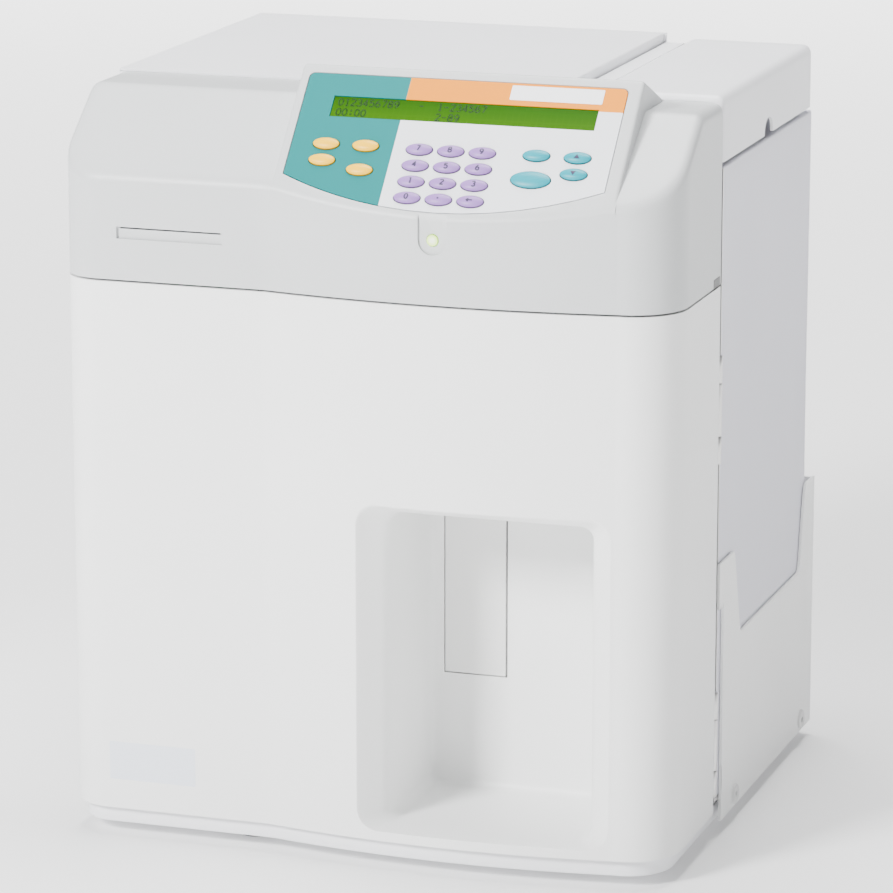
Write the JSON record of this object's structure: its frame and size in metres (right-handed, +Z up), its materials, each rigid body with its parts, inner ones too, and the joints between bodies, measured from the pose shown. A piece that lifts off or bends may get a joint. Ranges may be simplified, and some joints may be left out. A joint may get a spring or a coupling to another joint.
{
  "type": "hematology analyzer",
  "caption": "Bench-top blood cell analyzer with keypad hood, display, sample recess, press plate, hinged reagent cap and swing-out reagent carrier.",
  "frame": {"origin": "centre of the bounding box's bottom, on the table under the feet", "axes": "+Z up, -Y out of the front with the keypad, +X to the side with the reagent pack"},
  "size_m": [0.3538, 0.33, 0.4376],
  "materials": {
    "light_grey_shell": "fine moulded texture",
    "white_shell": "fine moulded texture",
    "lavender_paint": "fine powder coat",
    "sheet_steel": "satin",
    "supply_case": "satin",
    "lavender_card": "coated card",
    "panel_print": "printed film",
    "circuit_board": "solder mask",
    "display_green": "backlit glass",
    "lamp_lens": "clear lens",
    "dark_plastic": "moulded",
    "clear_plastic": "polished",
    "foot_rubber": "matt",
    "number_key": "satin",
    "start_key": "satin",
    "command_key": "satin"
  },
  "bodies": {
    "analyzer": {"base_pan": "lavender_paint", "cap_hinge_strip": "lavender_paint", "card_reader": "dark_plastic", "carriage_rail": "sheet_steel", "console_cover": "light_grey_shell", "counting_chambers": "clear_plastic", "display_module": "display_green", "fan_housing": "dark_plastic", "foot_front_left": "foot_rubber", "foot_front_right": "foot_rubber", "foot_rear_left": "foot_rubber", "foot_rear_right": "foot_rubber", "front_cover": "white_shell", "interface_ports": "dark_plastic", "keypad_board": "circuit_board", "keypad_panel": "panel_print", "left_panel": "lavender_paint", "lower_hinge_frame_leaf": "sheet_steel", "main_board": "circuit_board", "plate_bracket": "sheet_steel", "power_inlet": "dark_plastic", "power_supply": "supply_case", "rear_panel": "lavender_paint", "service_wall": "sheet_steel", "status_lens": "lamp_lens", "syringe_block": "clear_plastic", "top_cover": "lavender_paint", "upper_hinge_frame_leaf": "sheet_steel", "valve_bank": "dark_plastic"},
    "reagent_cap": {"reagent_cap": "lavender_paint"},
    "side_carrier": {"pack_carrier": "sheet_steel", "pack_pocket": "white_shell", "reagent_pack": "lavender_card", "upper_hinge_door_leaf": "sheet_steel", "lower_hinge_door_leaf": "sheet_steel"},
    "press_plate": {"press_plate": "white_shell"},
    "needle_carriage": {"needle_carriage": "dark_plastic"},
    "sampling_needle": {"sampling_needle": "sheet_steel"},
    "fan_rotor": {"fan_rotor": "dark_plastic"},
    "power_switch": {"power_switch": "dark_plastic"},
    "key_7": {"key_7": "number_key"},
    "key_8": {"key_8": "number_key"},
    "key_9": {"key_9": "number_key"},
    "key_4": {"key_4": "number_key"},
    "key_5": {"key_5": "number_key"},
    "key_6": {"key_6": "number_key"},
    "key_1": {"key_1": "number_key"},
    "key_2": {"key_2": "number_key"},
    "key_3": {"key_3": "number_key"},
    "key_0": {"key_0": "number_key"},
    "key_point": {"key_point": "number_key"},
    "key_clear": {"key_clear": "number_key"},
    "key_ready": {"key_ready": "start_key"},
    "key_identity": {"key_identity": "start_key"},
    "key_rest": {"key_rest": "start_key"},
    "key_run": {"key_run": "start_key"},
    "key_back": {"key_back": "command_key"},
    "key_up": {"key_up": "command_key"},
    "key_down": {"key_down": "command_key"},
    "key_accept": {"key_accept": "command_key"}
  },
  "joints": [
    {"name": "cap_hinge", "type": "hinge", "parent": "analyzer", "child": "reagent_cap", "pos_m": [0.09452, -0.0604, 0.4154], "axis": [0, -1, 0], "range_deg": [0, 95]},
    {"name": "carrier_hinge", "type": "hinge", "parent": "analyzer", "child": "side_carrier", "pos_m": [0.17413, -0.0566, 0.026], "axis": [0, 0, -1], "range_deg": [0, 100]},
    {"name": "plate_press", "type": "hinge", "parent": "analyzer", "child": "press_plate", "pos_m": [0.04007, -0.07065, 0.1905], "axis": [1, 0, 0], "range_deg": [0, 5], "stiffness_Nm_per_rad": 0.3, "springref_deg": -2.86},
    {"name": "carriage_slide", "type": "slide", "parent": "analyzer", "child": "needle_carriage", "axis": [0, 1, 0], "range_m": [0, 0.114]},
    {"name": "needle_slide", "type": "slide", "parent": "needle_carriage", "child": "sampling_needle", "axis": [0, 0, -1], "range_m": [0, 0.068]},
    {"name": "fan_spin", "type": "hinge", "parent": "analyzer", "child": "fan_rotor", "pos_m": [-0.10187, 0.1422, 0.35], "axis": [0, 1, 0], "continuous": true},
    {"name": "switch_rock", "type": "hinge", "parent": "analyzer", "child": "power_switch", "pos_m": [-0.07687, 0.1599, 0.085], "axis": [-1, 0, 0], "range_deg": [0, 12]},
    {"name": "key_7_press", "type": "slide", "parent": "analyzer", "child": "key_7", "axis": [0, 0.7331, -0.6802], "range_m": [0, 0.0008], "stiffness_N_per_m": 300, "springref_m": -0.0004},
    {"name": "key_8_press", "type": "slide", "parent": "analyzer", "child": "key_8", "axis": [0, 0.7331, -0.6802], "range_m": [0, 0.0008], "stiffness_N_per_m": 300, "springref_m": -0.0004},
    {"name": "key_9_press", "type": "slide", "parent": "analyzer", "child": "key_9", "axis": [0, 0.7331, -0.6802], "range_m": [0, 0.0008], "stiffness_N_per_m": 300, "springref_m": -0.0004},
    {"name": "key_4_press", "type": "slide", "parent": "analyzer", "child": "key_4", "axis": [0, 0.7331, -0.6802], "range_m": [0, 0.0008], "stiffness_N_per_m": 300, "springref_m": -0.0004},
    {"name": "key_5_press", "type": "slide", "parent": "analyzer", "child": "key_5", "axis": [0, 0.7331, -0.6802], "range_m": [0, 0.0008], "stiffness_N_per_m": 300, "springref_m": -0.0004},
    {"name": "key_6_press", "type": "slide", "parent": "analyzer", "child": "key_6", "axis": [0, 0.7331, -0.6802], "range_m": [0, 0.0008], "stiffness_N_per_m": 300, "springref_m": -0.0004},
    {"name": "key_1_press", "type": "slide", "parent": "analyzer", "child": "key_1", "axis": [0, 0.7331, -0.6802], "range_m": [0, 0.0008], "stiffness_N_per_m": 300, "springref_m": -0.0004},
    {"name": "key_2_press", "type": "slide", "parent": "analyzer", "child": "key_2", "axis": [0, 0.7331, -0.6802], "range_m": [0, 0.0008], "stiffness_N_per_m": 300, "springref_m": -0.0004},
    {"name": "key_3_press", "type": "slide", "parent": "analyzer", "child": "key_3", "axis": [0, 0.7331, -0.6802], "range_m": [0, 0.0008], "stiffness_N_per_m": 300, "springref_m": -0.0004},
    {"name": "key_0_press", "type": "slide", "parent": "analyzer", "child": "key_0", "axis": [0, 0.7331, -0.6802], "range_m": [0, 0.0008], "stiffness_N_per_m": 300, "springref_m": -0.0004},
    {"name": "key_point_press", "type": "slide", "parent": "analyzer", "child": "key_point", "axis": [0, 0.7331, -0.6802], "range_m": [0, 0.0008], "stiffness_N_per_m": 300, "springref_m": -0.0004},
    {"name": "key_clear_press", "type": "slide", "parent": "analyzer", "child": "key_clear", "axis": [0, 0.7331, -0.6802], "range_m": [0, 0.0008], "stiffness_N_per_m": 300, "springref_m": -0.0004},
    {"name": "key_ready_press", "type": "slide", "parent": "analyzer", "child": "key_ready", "axis": [0, 0.7331, -0.6802], "range_m": [0, 0.0008], "stiffness_N_per_m": 300, "springref_m": -0.0004},
    {"name": "key_identity_press", "type": "slide", "parent": "analyzer", "child": "key_identity", "axis": [0, 0.7331, -0.6802], "range_m": [0, 0.0008], "stiffness_N_per_m": 300, "springref_m": -0.0004},
    {"name": "key_rest_press", "type": "slide", "parent": "analyzer", "child": "key_rest", "axis": [0, 0.7331, -0.6802], "range_m": [0, 0.0008], "stiffness_N_per_m": 300, "springref_m": -0.0004},
    {"name": "key_run_press", "type": "slide", "parent": "analyzer", "child": "key_run", "axis": [0, 0.7331, -0.6802], "range_m": [0, 0.0008], "stiffness_N_per_m": 300, "springref_m": -0.0004},
    {"name": "key_back_press", "type": "slide", "parent": "analyzer", "child": "key_back", "axis": [0, 0.7331, -0.6802], "range_m": [0, 0.0008], "stiffness_N_per_m": 300, "springref_m": -0.0004},
    {"name": "key_up_press", "type": "slide", "parent": "analyzer", "child": "key_up", "axis": [0, 0.7331, -0.6802], "range_m": [0, 0.0008], "stiffness_N_per_m": 300, "springref_m": -0.0004},
    {"name": "key_down_press", "type": "slide", "parent": "analyzer", "child": "key_down", "axis": [0, 0.7331, -0.6802], "range_m": [0, 0.0008], "stiffness_N_per_m": 300, "springref_m": -0.0004},
    {"name": "key_accept_press", "type": "slide", "parent": "analyzer", "child": "key_accept", "axis": [0, 0.7331, -0.6802], "range_m": [0, 0.0008], "stiffness_N_per_m": 300, "springref_m": -0.0004}
  ]
}
